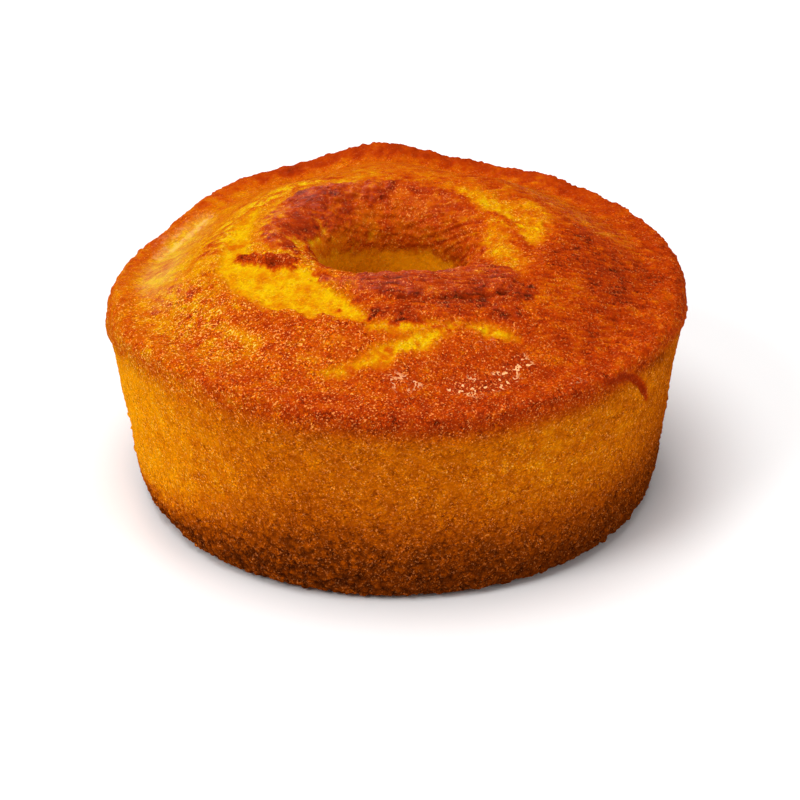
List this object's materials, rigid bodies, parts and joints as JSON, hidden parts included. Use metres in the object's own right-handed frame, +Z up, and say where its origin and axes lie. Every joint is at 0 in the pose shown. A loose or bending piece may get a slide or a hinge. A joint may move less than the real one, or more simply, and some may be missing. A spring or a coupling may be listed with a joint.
{
  "type": "carrot cake",
  "caption": "Whole ring-shaped carrot cake with a tapered sponge wall, a browned and cracked domed crust and a round hole through the middle, resting on its flat underside.",
  "frame": {"origin": "middle of the cake's box in plan, at the level of its flat underside", "axes": "+Z up through the hole, -Y towards the cake's front, where the crust rolls over into the hole, +X towards its right-hand side"},
  "size_m": [0.2016, 0.2004, 0.0945],
  "materials": {
    "baked_sponge": "orange-yellow crumb, browned and slightly greasy on top"
  },
  "bodies": {
    "root": {"cake": "baked_sponge"}
  },
  "joints": []
}
